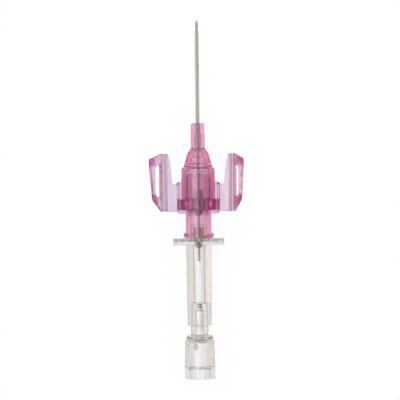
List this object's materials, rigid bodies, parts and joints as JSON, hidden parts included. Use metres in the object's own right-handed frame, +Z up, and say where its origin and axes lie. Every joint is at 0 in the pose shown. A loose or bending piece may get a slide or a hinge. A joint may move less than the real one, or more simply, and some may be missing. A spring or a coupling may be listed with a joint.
{
  "type": "iv cannula",
  "caption": "Winged intravenous cannula with its needle in place: catheter, pink hub with folding wings, clear needle hub with push-off plate and a vented flash plug.",
  "frame": {"origin": "on the floor under the needle's axis, at the middle of the saddle's collar", "axes": "+Y along the needle towards its tip, +X across the wings, +Z up from the skin side"},
  "size_m": [0.0249, 0.0935, 0.0086],
  "materials": {
    "pink": "translucent",
    "clear": "clear",
    "catheter": "translucent",
    "steel": "polished",
    "spring_steel": "satin",
    "silicone": "soft",
    "opener": "milky",
    "adhesive": "cured resin",
    "filter": "porous"
  },
  "bodies": {
    "hub": {"catheter_tube": "catheter", "catheter_sleeve": "steel", "hub_front": "pink", "hub_socket": "pink", "septum": "silicone", "wing_platform": "pink"},
    "opener": {"valve_opener": "opener"},
    "guard": {"needle_guard": "spring_steel"},
    "needle_unit": {"needle": "steel", "needle_adhesive": "adhesive", "needle_hub": "clear"},
    "plug": {"flash_plug": "clear", "vent_filter": "filter", "filter_ring": "clear"},
    "wing_right": {"right_wing": "pink"},
    "wing_left": {"left_wing": "pink"}
  },
  "joints": [
    {"name": "valve_push", "type": "slide", "parent": "hub", "child": "opener", "axis": [0, 1, 0], "range_m": [0, 0.0015], "deforming": ["septum"]},
    {"name": "guard_release", "type": "slide", "parent": "hub", "child": "guard", "axis": [0, -1, 0], "range_m": [0, 0.014]},
    {"name": "needle_withdraw", "type": "slide", "parent": "guard", "child": "needle_unit", "axis": [0, -1, 0], "range_m": [0, 0.045]},
    {"name": "plug_release", "type": "slide", "parent": "needle_unit", "child": "plug", "axis": [0, -1, 0], "range_m": [0, 0.012]},
    {"name": "wing_right_fold", "type": "hinge", "parent": "hub", "child": "wing_right", "pos_m": [0.0092, 0, 0.00055], "axis": [0, -1, 0], "range_deg": [-69, 16]},
    {"name": "wing_left_fold", "type": "hinge", "parent": "hub", "child": "wing_left", "pos_m": [-0.0092, 0, 0.00055], "axis": [0, 1, 0], "range_deg": [-60.5, 24.5]}
  ]
}
